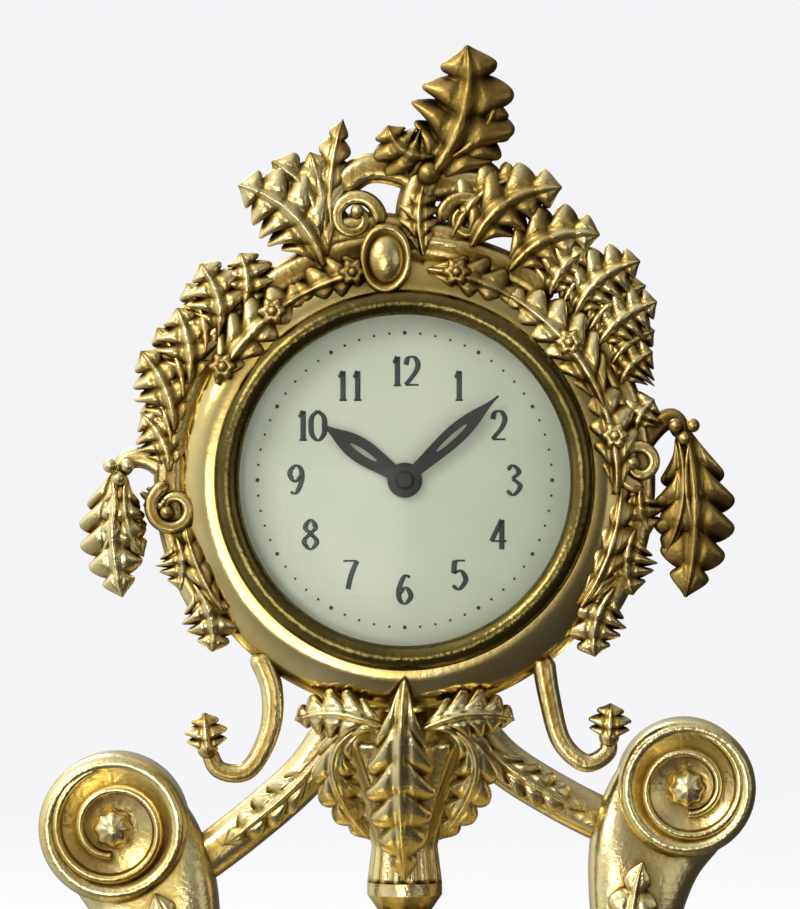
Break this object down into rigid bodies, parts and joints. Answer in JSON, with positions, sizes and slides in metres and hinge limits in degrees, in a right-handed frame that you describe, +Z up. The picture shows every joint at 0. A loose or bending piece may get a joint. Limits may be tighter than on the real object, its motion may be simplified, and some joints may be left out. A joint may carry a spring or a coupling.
{
  "type": "pendulette clock",
  "caption": "Small gilt-bronze rococo table clock: round glazed enamel dial in cast foliage, leafy pendant and volute legs on a moulded base, back-wound movement.",
  "frame": {"origin": "on the floor, under the middle of the base", "axes": "+X to the viewer's right, -Y towards the viewer in front of the dial, +Z up"},
  "size_m": [0.16, 0.092, 0.2596],
  "materials": {
    "gilt_bronze": "cast and gilded, dark in the hollows",
    "polished_gilt": "turned, gilded and burnished",
    "movement_brass": "fine brushed",
    "steel": "satin",
    "black_hands": "gloss black",
    "enamel": "glossy white enamel on copper",
    "glass": "clear, domed",
    "board": "stained"
  },
  "bodies": {
    "case": {"base_plinth": "gilt_bronze", "base_feet": "gilt_bronze", "left_leg": "gilt_bronze", "right_leg": "gilt_bronze", "centre_baluster": "gilt_bronze", "pendant": "gilt_bronze", "left_arm": "gilt_bronze", "right_arm": "gilt_bronze", "left_spray": "gilt_bronze", "right_spray": "gilt_bronze", "crest": "gilt_bronze", "finial": "gilt_bronze", "left_drop": "gilt_bronze", "right_drop": "gilt_bronze", "left_tendril": "gilt_bronze", "right_tendril": "gilt_bronze", "drum_case": "polished_gilt", "front_ring": "polished_gilt", "bezel": "polished_gilt", "dial_slip": "polished_gilt", "hinge_pin": "polished_gilt", "front_plate": "movement_brass", "back_plate": "movement_brass", "pillars": "movement_brass", "balance_cock": "movement_brass", "base_screws": "steel", "case_screws": "steel", "movement_screws": "steel", "tie_rod": "steel", "tie_nut": "steel", "click_spring": "steel", "hairspring": "steel", "dial": "enamel", "glass": "glass", "base_board": "board"},
    "back_door": {"back_door": "polished_gilt", "door_knob": "polished_gilt"},
    "minute_hands": {"centre_arbor": "steel", "cannon_pinion": "steel", "minute_hand": "black_hands", "hand_nut": "black_hands", "set_knob": "movement_brass"},
    "hour_hands": {"hour_wheel": "movement_brass", "hour_hand": "black_hands"},
    "minute_wheel": {"minute_wheel": "movement_brass"},
    "barrel": {"barrel": "movement_brass", "barrel_cover": "movement_brass", "mainspring": "steel"},
    "winding": {"barrel_arbor": "steel", "ratchet_wheel": "steel", "winding_key": "movement_brass"},
    "click": {"click": "steel"},
    "intermediate": {"intermediate_wheel": "movement_brass"},
    "centre_wheel": {"centre_wheel": "movement_brass"},
    "third": {"third_wheel": "movement_brass"},
    "fourth": {"fourth_wheel": "movement_brass"},
    "escape": {"escape_wheel": "movement_brass"},
    "lever": {"pallet_lever": "steel"},
    "balance": {"balance_wheel": "movement_brass"},
    "regulator": {"regulator": "steel"}
  },
  "joints": [
    {"name": "door_hinge", "type": "hinge", "parent": "case", "child": "back_door", "pos_m": [0.0443, 0.0217, 0.168], "axis": [0, 0, -1], "range_deg": [0, 110]},
    {"name": "minute_turn", "type": "hinge", "parent": "case", "child": "minute_hands", "pos_m": [0, 0, 0.168], "axis": [0, 1, 0], "continuous": true},
    {"name": "hour_turn", "type": "hinge", "parent": "case", "child": "hour_hands", "pos_m": [0, 0, 0.168], "axis": [0, 1, 0], "continuous": true},
    {"name": "minute_wheel_turn", "type": "hinge", "parent": "case", "child": "minute_wheel", "pos_m": [0, 0, 0.1764], "axis": [0, 1, 0], "continuous": true},
    {"name": "fourth_turn", "type": "hinge", "parent": "case", "child": "fourth", "pos_m": [0.01269, 0, 0.17123], "axis": [0, 1, 0], "continuous": true},
    {"name": "third_turn", "type": "hinge", "parent": "case", "child": "third", "pos_m": [0.0054, 0, 0.17735], "axis": [0, 1, 0], "continuous": true},
    {"name": "centre_wheel_turn", "type": "hinge", "parent": "case", "child": "centre_wheel", "pos_m": [0, 0, 0.168], "axis": [0, 1, 0], "continuous": true},
    {"name": "intermediate_turn", "type": "hinge", "parent": "case", "child": "intermediate", "pos_m": [-0.01256, 0, 0.16697], "axis": [0, 1, 0], "continuous": true},
    {"name": "barrel_turn", "type": "hinge", "parent": "case", "child": "barrel", "pos_m": [-0.00633, 0, 0.15062], "axis": [0, 1, 0], "continuous": true},
    {"name": "escape_turn", "type": "hinge", "parent": "case", "child": "escape", "pos_m": [0.01474, 0, 0.16358], "axis": [0, 1, 0], "continuous": true},
    {"name": "winding_turn", "type": "hinge", "parent": "case", "child": "winding", "pos_m": [-0.00633, 0, 0.15062], "axis": [0, 1, 0], "range_deg": [0, 1890]},
    {"name": "click_swing", "type": "hinge", "parent": "case", "child": "click", "pos_m": [-0.01391, 0, 0.14928], "axis": [0, 1, 0], "range_deg": [0, 12], "stiffness_Nm_per_rad": 0.0002},
    {"name": "lever_swing", "type": "hinge", "parent": "case", "child": "lever", "pos_m": [0.01377, 0, 0.15807], "axis": [0, 1, 0], "range_deg": [-4, 4]},
    {"name": "balance_swing", "type": "hinge", "parent": "case", "child": "balance", "pos_m": [0.01117, 0, 0.15093], "axis": [0, 1, 0], "range_deg": [-135, 135], "stiffness_Nm_per_rad": 0.000004},
    {"name": "regulator_turn", "type": "hinge", "parent": "case", "child": "regulator", "pos_m": [0.01117, 0, 0.15093], "axis": [0, 1, 0], "range_deg": [-20, 20]}
  ],
  "couplings": [
    {"joint": "hour_turn", "follows": "minute_turn", "ratio": 0.083333},
    {"joint": "minute_wheel_turn", "follows": "minute_turn", "ratio": -0.33333},
    {"joint": "third_turn", "follows": "fourth_turn", "ratio": -0.13333},
    {"joint": "centre_wheel_turn", "follows": "fourth_turn", "ratio": 0.016667},
    {"joint": "intermediate_turn", "follows": "fourth_turn", "ratio": -0.0027778},
    {"joint": "barrel_turn", "follows": "fourth_turn", "ratio": 0.00046296},
    {"joint": "escape_turn", "follows": "fourth_turn", "ratio": -10}
  ]
}
